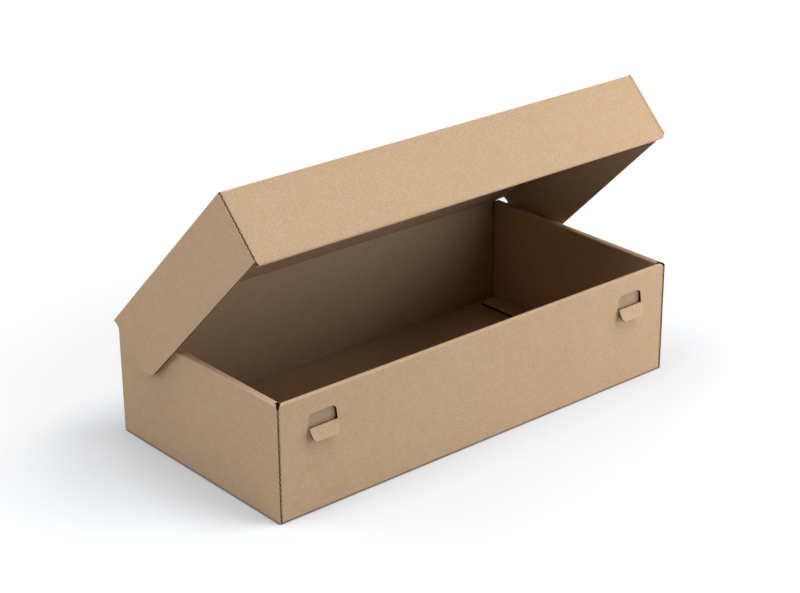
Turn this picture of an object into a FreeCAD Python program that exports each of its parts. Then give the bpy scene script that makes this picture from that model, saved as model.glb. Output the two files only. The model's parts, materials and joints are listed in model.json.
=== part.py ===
import FreeCAD, Part
import math
import os
import Sketcher

# A hinged-lid storage box folded from one die-cut sheet of single-wall corrugated board.
# Frame: X runs along the width, Y from front to back, Z up; the origin is the middle of the
# tray's underside. Millimetres.

doc = FreeCAD.newDocument("storage_box")

# ---------------------------------------------------------------- driving sizes

SIZES = [
    ("tray_width", 580, "tray, outside, left to right"),
    ("tray_depth", 290, "tray, outside, front to back"),
    ("tray_height", 137.5, "tray, outside, underside to the top of the rolled walls"),
    ("board", 2.9, "thickness of the corrugated board"),
    ("layer_gap", 0.2, "air between two layers of one rolled wall"),
    ("fold_radius", 2.4, "outside radius of a right-angle fold"),
    ("end_gap", 1.4, "air between the end of a rolled-in panel and the wall it stops at"),
    ("crown_round", 4.4, "rounding of the rolled front wall's two top corners"),
    ("side_round", 4.3, "rounding of a side wall's two top corners"),
    ("tray_corner_flap", 112, "reach of the flaps locked inside the side walls"),
    ("floor_flap", 28, "width of the side walls' flaps that lie on the floor"),
    ("floor_flap_taper", 7, "how far a floor flap's free edge is shorter at each end"),
    ("slot_inset", 59.3, "middle of a lock slot from the tray's side"),
    ("slot_width", 40.2, "width of a lock slot along the crease at its foot"),
    ("slot_flare", 2.2, "how far a lock slot's upper edge is shorter at each end"),
    ("slot_height", 17, "height of a lock slot above the crease at its foot"),
    ("slot_drop", 22.2, "top of the front wall down to a lock slot's upper edge"),
    ("slot_round", 6.5, "rounding of a lock slot's upper corners"),
    ("tab_length", 15, "length of a lock tab from its crease to its tip"),
    ("cut_gap", 0.3, "air around a lock tab in its slot"),
    ("tab_fold", 159, "how far a lock tab is folded out from the wall, degrees"),
    ("hinge_gap", 0.3, "air between the back wall's top edge and the lid's creased edge"),
    ("lid_open", 44.7, "how far the lid is raised from closed, degrees"),
    ("lid_side_room", 2.3, "air between the tray's sides and the lid's corner flaps"),
    ("tab_room", 1.85, "air between a lock tab's tip and the closed lid's front panel"),
    ("lid_front_height", 86.3, "height of the lid's rolled front flap"),
    ("lid_side_height", 82.2, "height of the lid's side flaps"),
    ("lid_corner_flap", 70, "reach of the lid's corner flaps behind its side flaps"),
    ("lid_crown", 6, "height of the lid's rolled foot beside the corner flaps"),
    ("lid_corner_round", 3, "rounding of the lid's two lower front corners"),
    ("catch_gap", 0.6, "air between a lock tab's tip and the lid's rolled-in edge below it"),
    ("flap_setback", 0.5, "how far a lid side flap stops in front of the hinge line"),
    ("flap_notch_top", 1, "start of the curved notch below the lid's top face"),
    ("flap_notch_depth", 3.3, "depth of the curved notch beside the hinge"),
    ("flap_notch_height", 16, "height of the curved notch beside the hinge"),
    ("flap_heel_rise", 36, "height of the rounded lower back corner of a lid side flap"),
    ("flap_heel_radius", 38.4, "radius of that corner"),
]

sheet = doc.addObject("Spreadsheet::Sheet", "size")
for row, (alias, value, meaning) in enumerate(SIZES, start=1):
    sheet.set(f"A{row}", meaning)
    sheet.set(f"B{row}", str(value))
    sheet.setAlias(f"B{row}", alias)
doc.recompute()

# ---------------------------------------------------------------- places worked out from them

BOARD = "size.board"
HALF_BOARD = "(size.board / 2)"
GAP = "size.layer_gap"
LAYER = "(size.board + size.layer_gap)"
FOLD = "size.fold_radius"
CUT = "size.cut_gap"
END = "size.end_gap"

# the tray's outer faces, then the inner faces of its rolled walls
SIDE = "(size.tray_width / 2)"
FRONT = "(-size.tray_depth / 2)"
BACK = "(size.tray_depth / 2)"
TOP = "size.tray_height"
FRONT_INNER = f"({FRONT} + 2 * {BOARD} + {GAP})"
SIDE_INNER = f"({SIDE} - 3 * {BOARD} - 2 * {GAP})"
CORNER = f"({SIDE} - {LAYER})"

# a lock slot: its middle, its upper edge and the crease at its foot
SLOT_CENTRE = f"({SIDE} - size.slot_inset)"
SLOT_TOP = f"({TOP} - size.slot_drop)"
SLOT_SILL = f"({SLOT_TOP} - size.slot_height)"

# the hinge line lies over the back wall's inner face, half a board above its top edge
HINGE_Y = f"({BACK} - {BOARD})"
HINGE_Z = f"({TOP} + size.hinge_gap + {HALF_BOARD})"

# a lock tab turns about the outer edge of the slot's sill
TAB_LENGTH = "size.tab_length"
TAB_LEAN = "(180deg - size.tab_fold * 1deg)"
TAB_REACH = f"({TAB_LENGTH} * sin({TAB_LEAN}) + {BOARD} * cos({TAB_LEAN}))"
TAB_DROP = f"({TAB_LENGTH} * cos({TAB_LEAN}))"

# the lid in its own frame: hinge line at the origin, closed, front towards -Y
LID_SIDE = f"({SIDE} + size.lid_side_room + 2 * {BOARD} + {GAP})"
LID_CORNER = f"({LID_SIDE} - {LAYER})"
LID_FRONT = f"({FRONT} - {TAB_REACH} - size.tab_room - {BOARD} - {HINGE_Y})"
LID_FRONT_INNER = f"({LID_FRONT} + 2 * {BOARD} + {GAP})"
LID_FOOT = f"({HALF_BOARD} - size.lid_front_height)"
LID_CATCH = f"({SLOT_SILL} - {TAB_DROP} - size.catch_gap - {HINGE_Z})"


def minus(expression):
    return f"-({expression})"


# ---------------------------------------------------------------- sketching helpers


def new_body(label):
    """An empty body whose label names the piece."""
    body = doc.addObject("PartDesign::Body", label)
    body.Label = label
    return body


def new_sketch(body, name, plane, offset=None):
    """A sketch on one of the body's own origin planes, moved along its normal by offset."""
    sketch = body.newObject("Sketcher::SketchObject", name)
    for feature in body.Origin.OriginFeatures:
        if feature.Role == plane:
            sketch.AttachmentSupport = [(feature, "")]
    sketch.MapMode = "FlatFace"
    if offset:
        sketch.setExpression("AttachmentOffset.Base.z", offset)
    doc.recompute()
    return sketch


def number(sketch, expression):
    """The present value of an expression, for drawing the sketch before it is solved."""
    value = sketch.evalExpression(expression)
    return float(getattr(value, "Value", value))


def fix(sketch, kind, first, second, expression):
    """Hold a distance or radius to an expression of the driving sizes."""
    value = number(sketch, expression)
    index = sketch.addConstraint(Sketcher.Constraint(kind, *first, *second, value))
    sketch.setExpression(f"Constraints[{index}]", expression)


def closed_outline(body, name, plane, corners, offset=None):
    """Draw one closed outline through corners, each (across, up) or (across, up, radius).

    Corners that share an across or up expression are joined by a square edge; a corner with a
    radius is rounded and lies between two square edges.
    """
    sketch = new_sketch(body, name, plane, offset)
    count = len(corners)
    across = [corner[0] for corner in corners]
    up = [corner[1] for corner in corners]
    radius = [corner[2] if len(corner) > 2 else None for corner in corners]
    spot = [
        FreeCAD.Vector(number(sketch, across[i]), number(sketch, up[i]), 0)
        for i in range(count)
    ]
    along = [(spot[(i + 1) % count] - spot[i]).normalize() for i in range(count)]
    bend = [number(sketch, radius[i]) if radius[i] else 0.0 for i in range(count)]

    lines = []
    for i in range(count):
        following = (i + 1) % count
        start = spot[i] + along[i] * bend[i]
        end = spot[following] - along[i] * bend[following]
        lines.append(sketch.addGeometry(Part.LineSegment(start, end), False))
        if across[i] == across[following]:
            sketch.addConstraint(Sketcher.Constraint("Vertical", lines[i]))
        elif up[i] == up[following]:
            sketch.addConstraint(Sketcher.Constraint("Horizontal", lines[i]))

    for i in range(count):
        before = lines[i - 1]
        after = lines[i]
        if radius[i]:
            centre = spot[i] + (along[i] - along[i - 1]) * bend[i]
            left_turn = along[i - 1].cross(along[i]).z > 0
            begin = spot[i] - along[i - 1] * bend[i] - centre
            finish = spot[i] + along[i] * bend[i] - centre
            if not left_turn:
                begin, finish = finish, begin
            circle = Part.Circle(centre, FreeCAD.Vector(0, 0, 1), bend[i])
            angles = [math.atan2(arm.y, arm.x) for arm in (begin, finish)]
            arc = sketch.addGeometry(Part.ArcOfCircle(circle, *angles), False)
            ends = (1, 2) if left_turn else (2, 1)
            sketch.addConstraint(Sketcher.Constraint("Tangent", before, 2, arc, ends[0]))
            sketch.addConstraint(Sketcher.Constraint("Tangent", arc, ends[1], after, 1))
            fix(sketch, "Radius", (arc,), (), radius[i])
        else:
            sketch.addConstraint(Sketcher.Constraint("Coincident", before, 2, after, 1))

    for i in range(count):
        following = (i + 1) % count
        upright = across[i] == across[following]
        level = up[i] == up[following]
        if upright:
            fix(sketch, "DistanceX", (-1, 1), (lines[i], 1), across[i])
        elif level:
            fix(sketch, "DistanceY", (-1, 1), (lines[i], 1), up[i])
        upright_before = across[i] == across[i - 1]
        level_before = up[i] == up[i - 1]
        if not (upright or upright_before):
            fix(sketch, "DistanceX", (-1, 1), (lines[i], 1), across[i])
        if not (level or level_before):
            fix(sketch, "DistanceY", (-1, 1), (lines[i], 1), up[i])
    doc.recompute()
    return sketch


def flared_outline(body, name, middle, half_foot, half_head, foot, head, radius, offset=None):
    """A lock slot's shape, seen from the front: level foot and head, leaning sides, and two
    rounded upper corners. The head's ends are where its edge would meet the leaning sides."""
    sketch = new_sketch(body, name, "XZ_Plane", offset)
    ends = [
        (f"{middle} - {half_foot}", foot), (f"{middle} + {half_foot}", foot),
        (f"{middle} + {half_head}", head), (f"{middle} - {half_head}", head)]
    spot = [
        FreeCAD.Vector(number(sketch, across), number(sketch, up), 0) for across, up in ends]
    reach = number(sketch, radius)
    along = [(spot[(i + 1) % 4] - spot[i]).normalize() for i in range(4)]
    setback = reach * math.tan(along[1].getAngle(along[2]) / 2)
    cut = [0, 0, setback, setback]
    lines = [
        sketch.addGeometry(Part.LineSegment(
            spot[i] + along[i] * cut[i], spot[(i + 1) % 4] - along[i] * cut[(i + 1) % 4]), False)
        for i in range(4)]
    sketch.addConstraint(Sketcher.Constraint("Horizontal", lines[0]))
    sketch.addConstraint(Sketcher.Constraint("Horizontal", lines[2]))
    sketch.addConstraint(Sketcher.Constraint("Coincident", lines[0], 2, lines[1], 1))
    sketch.addConstraint(Sketcher.Constraint("Coincident", lines[3], 2, lines[0], 1))
    for i in (2, 3):
        before, after = lines[i - 1], lines[i]
        left = FreeCAD.Vector(-along[i - 1].y, along[i - 1].x, 0)
        begin = spot[i] - along[i - 1] * setback
        centre = begin + left * reach
        arms = (begin - centre, spot[i] + along[i] * setback - centre)
        circle = Part.Circle(centre, FreeCAD.Vector(0, 0, 1), reach)
        angles = [math.atan2(arm.y, arm.x) for arm in arms]
        arc = sketch.addGeometry(Part.ArcOfCircle(circle, *angles), False)
        sketch.addConstraint(Sketcher.Constraint("Tangent", before, 2, arc, 1))
        sketch.addConstraint(Sketcher.Constraint("Tangent", arc, 2, after, 1))
        fix(sketch, "Radius", (arc,), (), radius)
        corner = sketch.addGeometry(Part.Point(spot[i]), True)
        sketch.addConstraint(Sketcher.Constraint("PointOnObject", corner, 1, before))
        sketch.addConstraint(Sketcher.Constraint("PointOnObject", corner, 1, after))
        fix(sketch, "DistanceX", (-1, 1), (corner, 1), ends[i][0])
    fix(sketch, "DistanceX", (-1, 1), (lines[0], 1), ends[0][0])
    fix(sketch, "DistanceX", (-1, 1), (lines[1], 1), ends[1][0])
    fix(sketch, "DistanceY", (-1, 1), (lines[0], 1), foot)
    fix(sketch, "DistanceY", (-1, 1), (lines[2], 1), head)
    doc.recompute()
    return sketch


def disc_outline(body, name, plane, centre, radius, offset=None):
    """Draw one circle at centre (across, up)."""
    sketch = new_sketch(body, name, plane, offset)
    place = FreeCAD.Vector(number(sketch, centre[0]), number(sketch, centre[1]), 0)
    circle = Part.Circle(place, FreeCAD.Vector(0, 0, 1), number(sketch, radius))
    disc = sketch.addGeometry(circle, False)
    fix(sketch, "Radius", (disc,), (), radius)
    fix(sketch, "DistanceX", (-1, 1), (disc, 3), centre[0])
    fix(sketch, "DistanceY", (-1, 1), (disc, 3), centre[1])
    doc.recompute()
    return sketch


def extrude(body, kind, name, sketch, length, both_ways=False, reverse=False):
    """Pad or pocket a sketch by a length held to the driving sizes."""
    feature = body.newObject(f"PartDesign::{kind}", name)
    feature.Profile = sketch
    feature.SideType = "Symmetric" if both_ways else "One side"
    feature.Reversed = reverse
    feature.setExpression("Length", length)
    volume_before = feature.BaseFeature.Shape.Volume if feature.BaseFeature else 0.0
    doc.recompute()
    change = feature.Shape.Volume - volume_before
    if (change <= 0) == (kind == "Pad"):
        raise ValueError(f"{name} of {body.Label} changed the volume by {change}")
    return feature


def pad(body, name, sketch, length, both_ways=False, reverse=False):
    return extrude(body, "Pad", name, sketch, length, both_ways, reverse)


def pocket(body, name, sketch, depth, both_ways=False, reverse=False):
    return extrude(body, "Pocket", name, sketch, depth, both_ways, reverse)


def mirror_across_middle(body, name, features):
    """Repeat features on the other side of the body's YZ plane."""
    mirrored = body.newObject("PartDesign::Mirrored", name)
    mirrored.Originals = features
    for feature in body.Origin.OriginFeatures:
        if feature.Role == "YZ_Plane":
            mirrored.MirrorPlane = (feature, [""])
    body.Tip = mirrored
    doc.recompute()
    return mirrored


# ---------------------------------------------------------------- the tray


def tray_floor(body):
    """The floor panel, up to the folds around it."""
    edge = f"({SIDE} - {BOARD})"
    front = f"({FRONT} + {FOLD})"
    back = f"({BACK} - {FOLD})"
    outline = closed_outline(body, "floor_outline", "XY_Plane", [
        (minus(edge), front), (edge, front), (edge, back), (minus(edge), back)])
    pad(body, "floor", outline, BOARD)


def tray_ends(body):
    """The front wall's outer panel and the single back wall, folded up from the floor."""
    inside_front = f"({FRONT} + {BOARD})"
    inside_back = f"({BACK} - {BOARD})"
    under_crown = f"({TOP} - {BOARD})"
    section = closed_outline(body, "ends_section", "YZ_Plane", [
        (FRONT, "0 mm", FOLD),
        (BACK, "0 mm", FOLD),
        (BACK, TOP),
        (inside_back, TOP),
        (inside_back, BOARD),
        (inside_front, BOARD),
        (inside_front, under_crown),
        (FRONT, under_crown)])
    pad(body, "ends", section, f"2 * ({CORNER} - {FOLD})", both_ways=True)


def tray_sills(body):
    """The foot of the front and back walls, below their corner flaps, out to the side walls."""
    inside_front = f"({FRONT} + {BOARD})"
    inside_back = f"({BACK} - {BOARD})"
    section = closed_outline(body, "sills_section", "YZ_Plane", [
        (FRONT, "0 mm", FOLD),
        (BACK, "0 mm", FOLD),
        (BACK, LAYER),
        (inside_back, LAYER),
        (inside_back, BOARD),
        (inside_front, BOARD),
        (inside_front, LAYER),
        (FRONT, LAYER)])
    pad(body, "sills", section, f"2 * {CORNER}", both_ways=True)


def tray_front_roll(body):
    """The front wall's double crease and the inner panel that it rolls down to."""
    leg = f"({TOP} - size.crown_round)"
    under_crown = f"({TOP} - {BOARD})"
    outer_layer = f"({FRONT} + {BOARD})"
    inner_layer = f"({FRONT_INNER} - {BOARD})"
    section = closed_outline(body, "front_crown_section", "YZ_Plane", [
        (FRONT, leg),
        (FRONT, TOP, FOLD),
        (FRONT_INNER, TOP, FOLD),
        (FRONT_INNER, leg),
        (inner_layer, leg),
        (inner_layer, under_crown),
        (outer_layer, under_crown),
        (outer_layer, leg)])
    pad(body, "front_crown", section, f"2 * {CORNER}", both_ways=True)

    rounding_start = f"({CORNER} - size.crown_round)"
    for name, sign in (("left", "-1"), ("right", "1")):
        waste = corner_waste(
            body, f"front_crown_{name}_waste", "XZ_Plane", sign, rounding_start, leg,
            "size.crown_round", "1", minus(FRONT))
        pocket(body, f"front_crown_{name}_round", waste, f"2 * {BOARD} + 2 * {GAP}")

    end = f"({SIDE_INNER} - {END})"
    hidden_top = f"({TOP} - {BOARD})"
    outline = closed_outline(body, "front_inner_outline", "XZ_Plane", [
        (minus(end), LAYER), (end, LAYER), (end, hidden_top), (minus(end), hidden_top)],
        minus(FRONT_INNER))
    pad(body, "front_inner_panel", outline, BOARD)


def corner_waste(body, name, plane, side, centre_across, centre_up, radius, rise, offset):
    """The sliver outside a rounded corner, seen square on.

    side and rise are "1" or "-1": which way the corner points across and up from the centre
    of its rounding.
    """
    sketch = new_sketch(body, name, plane, offset)
    sign = float(side)
    lift = float(rise)
    middle = FreeCAD.Vector(
        sign * number(sketch, centre_across), number(sketch, centre_up), 0)
    reach = number(sketch, radius)
    tip_across = middle + FreeCAD.Vector(sign * reach, 0, 0)
    tip_up = middle + FreeCAD.Vector(0, lift * reach, 0)
    corner = middle + FreeCAD.Vector(sign * reach, lift * reach, 0)
    quarter = math.pi / 2
    start = {(1, 1): 0, (-1, 1): 1, (-1, -1): 2, (1, -1): 3}[(int(sign), int(lift))] * quarter
    circle = Part.Circle(middle, FreeCAD.Vector(0, 0, 1), reach)
    arc = sketch.addGeometry(Part.ArcOfCircle(circle, start, start + quarter), False)
    across_end, up_end = (1, 2) if sign * lift > 0 else (2, 1)
    upright = sketch.addGeometry(Part.LineSegment(tip_across, corner), False)
    level = sketch.addGeometry(Part.LineSegment(corner, tip_up), False)
    sketch.addConstraint(Sketcher.Constraint("Vertical", upright))
    sketch.addConstraint(Sketcher.Constraint("Horizontal", level))
    sketch.addConstraint(Sketcher.Constraint("Coincident", upright, 2, level, 1))
    sketch.addConstraint(Sketcher.Constraint("Tangent", arc, across_end, upright, 1))
    sketch.addConstraint(Sketcher.Constraint("Tangent", arc, up_end, level, 2))
    fix(sketch, "Radius", (arc,), (), radius)
    fix(sketch, "DistanceX", (-1, 1), (arc, 3), f"{side} * {centre_across}")
    fix(sketch, "DistanceY", (-1, 1), (arc, 3), centre_up)
    doc.recompute()
    return sketch


def tray_side_panel(body):
    """A side wall's outer panel; its front and back edges are raw board, rounded at the top."""
    inside = f"({SIDE} - {BOARD})"
    section = closed_outline(body, "side_panel_section", "XZ_Plane", [
        (inside, "0 mm"), (SIDE, "0 mm", FOLD), (SIDE, TOP, FOLD), (inside, TOP)])
    features = [pad(body, "side_panel", section, "size.tray_depth", both_ways=True)]
    for name, sign in (("front", "-1"), ("back", "1")):
        waste = corner_waste(
            body, f"side_{name}_waste", "YZ_Plane", sign, f"({BACK} - size.side_round)",
            f"({TOP} - size.side_round)", "size.side_round", "1", SIDE)
        features.append(pocket(body, f"side_{name}_round", waste, BOARD))
    return features


def tray_side_roll(body):
    """The roll over a side wall's top, its inner panel and the fold at the panel's foot."""
    shoulder = f"({TOP} - 2 * {BOARD})"
    under_crown = f"({TOP} - {BOARD})"
    outer_layer = f"({SIDE} - {BOARD})"
    inner_layer = f"({SIDE_INNER} + {BOARD})"
    back_end = f"({BACK} - {BOARD} - {END})"
    front_end = f"({FRONT_INNER} + {END})"
    section = closed_outline(body, "side_roll_section", "XZ_Plane", [
        (SIDE, shoulder),
        (SIDE, TOP, FOLD),
        (SIDE_INNER, TOP, FOLD),
        (SIDE_INNER, LAYER),
        (inner_layer, LAYER, FOLD),
        (inner_layer, under_crown),
        (outer_layer, under_crown),
        (outer_layer, shoulder)],
        minus(back_end))
    roll = pad(body, "side_roll", section, f"{back_end} - {front_end}")

    root = f"({SIDE_INNER} + {GAP})"
    free_edge = f"({SIDE_INNER} - size.floor_flap)"
    outline = closed_outline(body, "floor_flap_outline", "XY_Plane", [
        (root, f"{front_end} + {END}"),
        (root, f"{back_end} - {END}"),
        (free_edge, f"{back_end} - size.floor_flap_taper"),
        (free_edge, f"{front_end} + size.floor_flap_taper")],
        LAYER)
    flap = pad(body, "floor_flap", outline, BOARD)
    return [roll, flap]


def tray_corner_flaps(body):
    """The flaps that turn back from the front and back walls into the hollow side wall."""
    root = f"({CORNER} - 2 * {FOLD})"
    inner_face = f"({CORNER} - {BOARD})"
    height = f"{TOP} - size.crown_round - {LAYER}"
    flaps = []
    for name, face, sign in (("front", FRONT, "+"), ("back", BACK, "-")):
        inside = f"({face} {sign} {BOARD})"
        free_edge = f"({face} {sign} size.tray_corner_flap)"
        section = closed_outline(body, f"{name}_corner_flap_section", "XY_Plane", [
            (root, face),
            (CORNER, face, FOLD),
            (CORNER, free_edge),
            (inner_face, free_edge),
            (inner_face, inside),
            (root, inside)],
            LAYER)
        flaps.append(pad(body, f"{name}_corner_flap", section, height))
    return flaps


def tray_lock_slot(body):
    """A lock slot, cut through the front wall's outer panel only."""
    half = "(size.slot_width / 2)"
    outline = flared_outline(
        body, "lock_slot_outline", SLOT_CENTRE, half, f"({half} - size.slot_flare)",
        SLOT_SILL, SLOT_TOP, "size.slot_round", minus(FRONT))
    return pocket(body, "lock_slot", outline, f"{BOARD} + {GAP} / 2")


def make_tray():
    """Floor, single back wall and the three rolled double walls, all one folded sheet."""
    body = new_body("tray")
    tray_floor(body)
    tray_ends(body)
    tray_sills(body)
    tray_front_roll(body)
    repeated = tray_side_panel(body)
    repeated += tray_side_roll(body)
    repeated += tray_corner_flaps(body)
    repeated.append(tray_lock_slot(body))
    mirror_across_middle(body, "left_side", repeated)
    return body


# ---------------------------------------------------------------- the lid


def lid_top(body):
    """The lid's top panel with the rounded crease line along its hinged edge."""
    edge = f"({LID_SIDE} - {BOARD})"
    front = f"({LID_FRONT} + {FOLD})"
    outline = closed_outline(body, "top_outline", "XY_Plane", [
        (minus(edge), front), (edge, front), (edge, "0 mm"), (minus(edge), "0 mm")])
    pad(body, "top_panel", outline, BOARD, both_ways=True)
    crease = disc_outline(body, "hinge_crease_section", "YZ_Plane", ("0 mm", "0 mm"), HALF_BOARD)
    pad(body, "hinge_crease", crease, f"2 * {CORNER}", both_ways=True)


def lid_front(body):
    """The front flap: outer panel, double crease at its foot, and the panel rolled up inside."""
    leg = f"({LID_FOOT} + size.lid_crown)"
    behind_fold = f"({LID_FRONT} + 2 * {FOLD})"
    outer_layer = f"({LID_FRONT} + {BOARD})"
    inner_layer = f"({LID_FRONT_INNER} - {BOARD})"
    over_crown = f"({LID_FOOT} + {BOARD})"
    section = closed_outline(body, "front_section", "YZ_Plane", [
        (behind_fold, HALF_BOARD),
        (LID_FRONT, HALF_BOARD, FOLD),
        (LID_FRONT, leg),
        (outer_layer, leg),
        (outer_layer, minus(HALF_BOARD)),
        (behind_fold, minus(HALF_BOARD))])
    pad(body, "front_panel", section, f"2 * ({LID_CORNER} - {FOLD})", both_ways=True)

    # above the corner flaps the front fold runs out to the side flaps
    brow_foot = f"(-{HALF_BOARD} - {GAP})"
    brow = closed_outline(body, "front_brow_section", "YZ_Plane", [
        (behind_fold, HALF_BOARD),
        (LID_FRONT, HALF_BOARD, FOLD),
        (LID_FRONT, brow_foot),
        (outer_layer, brow_foot),
        (outer_layer, minus(HALF_BOARD)),
        (behind_fold, minus(HALF_BOARD))])
    pad(body, "front_brow", brow, f"2 * {LID_CORNER}", both_ways=True)

    crown = closed_outline(body, "front_crown_section", "YZ_Plane", [
        (LID_FRONT, leg),
        (LID_FRONT, LID_FOOT, FOLD),
        (LID_FRONT_INNER, LID_FOOT, FOLD),
        (LID_FRONT_INNER, leg),
        (inner_layer, leg),
        (inner_layer, over_crown),
        (outer_layer, over_crown),
        (outer_layer, leg)])
    pad(body, "front_crown", crown, f"2 * {LID_CORNER}", both_ways=True)

    for name, sign in (("left", "-1"), ("right", "1")):
        waste = corner_waste(
            body, f"front_{name}_waste", "XZ_Plane", sign,
            f"({LID_CORNER} - size.lid_corner_round)", f"({LID_FOOT} + size.lid_corner_round)",
            "size.lid_corner_round", "-1", minus(LID_FRONT))
        pocket(body, f"front_{name}_round", waste, f"2 * {BOARD} + 2 * {GAP}")

    end = f"({LID_CORNER} - {BOARD} - {END})"
    shoulder = f"({end} - size.lid_corner_round)"
    outline = closed_outline(body, "front_inner_outline", "XZ_Plane", [
        (minus(shoulder), over_crown), (shoulder, over_crown),
        (end, leg), (end, LID_CATCH), (minus(end), LID_CATCH), (minus(end), leg)],
        minus(LID_FRONT_INNER))
    pad(body, "front_inner_panel", outline, BOARD)


def lid_side_flap(body):
    """A side flap: the fold, the hanging panel with its rounded heel, and the hinge notch."""
    inside = f"({LID_SIDE} - {BOARD})"
    fold_foot = f"(-{HALF_BOARD} - {FOLD})"
    back_edge = "(-size.flap_setback)"
    section = closed_outline(body, "side_fold_section", "XZ_Plane", [
        (inside, HALF_BOARD), (LID_SIDE, HALF_BOARD, FOLD), (LID_SIDE, fold_foot),
        (inside, fold_foot)],
        minus(back_edge))
    fold = pad(body, "side_fold", section, f"{back_edge} - {LID_FRONT}")
    panel = pad(body, "side_panel", heel_outline(body, inside, back_edge), BOARD)

    depth = "size.flap_notch_depth"
    half_height = "(size.flap_notch_height / 2)"
    radius = f"(({half_height} * {half_height} + {depth} * {depth}) / (2 * {depth}))"
    middle = f"{HALF_BOARD} - size.flap_notch_top - {half_height}"
    centre = (f"{back_edge} - {depth} + {radius}", middle)
    disc = disc_outline(body, "notch_outline", "YZ_Plane", centre, radius, inside)
    notch = pocket(body, "hinge_notch", disc, BOARD, reverse=True)
    return [fold, panel, notch]


def heel_outline(body, plane_at, back_edge):
    """The side flap's panel: square front, straight foot, large arc up to the back edge."""
    sketch = new_sketch(body, "side_panel_outline", "YZ_Plane", plane_at)
    foot = f"({HALF_BOARD} - size.lid_side_height)"
    head = minus(HALF_BOARD)
    heel = f"({foot} + size.flap_heel_rise)"
    radius = number(sketch, "size.flap_heel_radius")
    rise = number(sketch, "size.flap_heel_rise")
    run = radius - math.sqrt(radius ** 2 - rise ** 2)
    back = number(sketch, back_edge)
    front = number(sketch, LID_FRONT)
    foot_level = number(sketch, foot)
    head_level = number(sketch, head)
    heel_level = number(sketch, heel)
    spots = [
        FreeCAD.Vector(back, heel_level, 0),
        FreeCAD.Vector(back, head_level, 0),
        FreeCAD.Vector(front, head_level, 0),
        FreeCAD.Vector(front, foot_level, 0),
        FreeCAD.Vector(back - run, foot_level, 0)]
    lines = [
        sketch.addGeometry(Part.LineSegment(spots[i], spots[i + 1]), False) for i in range(4)]
    centre = FreeCAD.Vector(back - radius, heel_level, 0)
    circle = Part.Circle(centre, FreeCAD.Vector(0, 0, 1), radius)
    low = math.atan2(-rise, radius - run)
    arc = sketch.addGeometry(Part.ArcOfCircle(circle, low, 0.0), False)
    for i in range(3):
        sketch.addConstraint(Sketcher.Constraint("Coincident", lines[i], 2, lines[i + 1], 1))
    for i, kind in enumerate(("Vertical", "Horizontal", "Vertical", "Horizontal")):
        sketch.addConstraint(Sketcher.Constraint(kind, lines[i]))
    sketch.addConstraint(Sketcher.Constraint("Coincident", lines[3], 2, arc, 1))
    sketch.addConstraint(Sketcher.Constraint("Tangent", arc, 2, lines[0], 1))
    fix(sketch, "Radius", (arc,), (), "size.flap_heel_radius")
    fix(sketch, "DistanceX", (-1, 1), (lines[0], 1), back_edge)
    fix(sketch, "DistanceY", (-1, 1), (lines[0], 1), heel)
    fix(sketch, "DistanceY", (-1, 1), (lines[1], 1), head)
    fix(sketch, "DistanceX", (-1, 1), (lines[2], 1), LID_FRONT)
    fix(sketch, "DistanceY", (-1, 1), (lines[3], 1), foot)
    doc.recompute()
    return sketch


def lid_corner_flap(body):
    """The flap that turns back from the front panel inside the side flap."""
    root = f"({LID_CORNER} - 2 * {FOLD})"
    inner_face = f"({LID_CORNER} - {BOARD})"
    inside = f"({LID_FRONT} + {BOARD})"
    free_edge = f"({LID_FRONT} + size.lid_corner_flap)"
    foot = f"({LID_FOOT} + size.lid_crown)"
    section = closed_outline(body, "corner_flap_section", "XY_Plane", [
        (root, LID_FRONT),
        (LID_CORNER, LID_FRONT, FOLD),
        (LID_CORNER, free_edge),
        (inner_face, free_edge),
        (inner_face, inside),
        (root, inside)],
        foot)
    return pad(body, "corner_flap", section, f"-{HALF_BOARD} - {GAP} - {foot}")


def make_lid():
    """Top panel, rolled front flap, single side flaps and corner flaps, raised on its crease."""
    body = new_body("lid")
    lid_top(body)
    lid_front(body)
    repeated = lid_side_flap(body)
    repeated.append(lid_corner_flap(body))
    mirror_across_middle(body, "left_side", repeated)
    body.Placement = FreeCAD.Placement(
        FreeCAD.Vector(), FreeCAD.Rotation(FreeCAD.Vector(-1, 0, 0), 0))
    body.setExpression("Placement.Base.y", HINGE_Y)
    body.setExpression("Placement.Base.z", HINGE_Z)
    body.setExpression("Placement.Rotation.Angle", "size.lid_open * 1deg")
    return body


# ---------------------------------------------------------------- the lock tabs


def make_lock_tab(label, side):
    """The piece cut free by a slot, folded out and down about the crease along its foot.

    It is drawn flush in the wall, with the outer edge of the slot's sill along the X axis.
    Its inner face rises by the board's thickness as it turns, where the slot is narrower.
    """
    body = new_body(label)
    half_foot = f"(size.slot_width / 2 - size.slot_flare * {BOARD} / size.slot_height - {CUT})"
    half_tip = f"({half_foot} - size.slot_flare * {TAB_LENGTH} / size.slot_height)"
    outline = flared_outline(
        body, "tab_outline", "0", half_foot, half_tip, CUT, TAB_LENGTH,
        f"(size.slot_round - {CUT})")
    pad(body, "tab", outline, BOARD, reverse=True)

    # the crushed edge at the crease clears the wall when the tab is folded out
    bevel = closed_outline(body, "crease_bevel_section", "YZ_Plane", [
        ("0 mm", CUT), (f"2 * {CUT}", CUT), ("0 mm", f"4 * {CUT}")])
    pocket(body, "crease_bevel", bevel, "size.slot_width", both_ways=True)

    body.Placement = FreeCAD.Placement(
        FreeCAD.Vector(), FreeCAD.Rotation(FreeCAD.Vector(1, 0, 0), 0))
    body.setExpression("Placement.Base.x", f"{side} * {SLOT_CENTRE}")
    body.setExpression("Placement.Base.y", FRONT)
    body.setExpression("Placement.Base.z", SLOT_SILL)
    body.setExpression("Placement.Rotation.Angle", "size.tab_fold * 1deg")
    return body


# ---------------------------------------------------------------- build, check, write

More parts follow.
